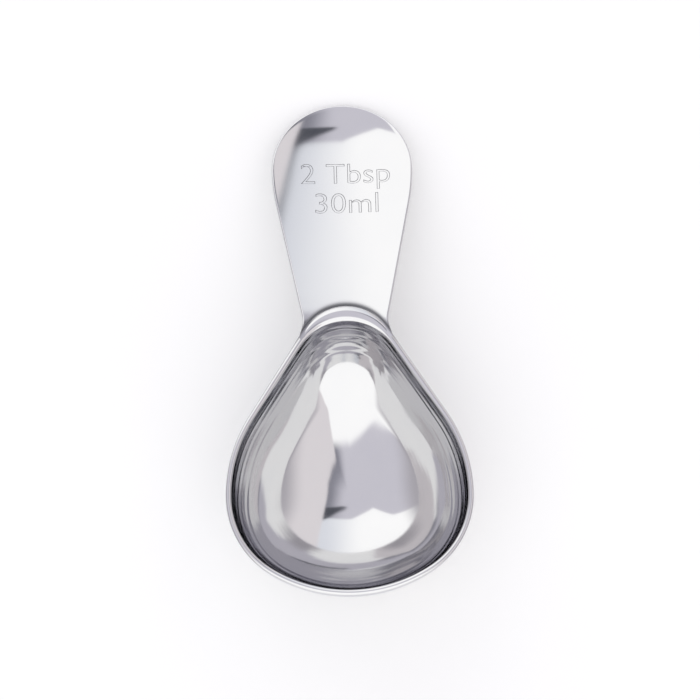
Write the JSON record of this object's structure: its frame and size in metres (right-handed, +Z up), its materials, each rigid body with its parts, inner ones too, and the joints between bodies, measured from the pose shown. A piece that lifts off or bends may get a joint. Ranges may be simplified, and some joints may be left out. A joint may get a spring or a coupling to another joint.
{
  "type": "measuring spoon",
  "caption": "One-piece pressed steel measuring spoon with a deep teardrop bowl, a raised ridge at the neck and a short dished handle.",
  "frame": {"origin": "on the table, under the middle of the spoon as it lies at rest on its bowl and the end of its handle", "axes": "+Z up from the table, +Y towards the end of the handle, +X to the right with the handle pointing away"},
  "size_m": [0.0514, 0.1042, 0.0277],
  "materials": {
    "steel": "mirror-polished stainless steel"
  },
  "bodies": {
    "root": {"spoon": "steel"}
  },
  "joints": []
}
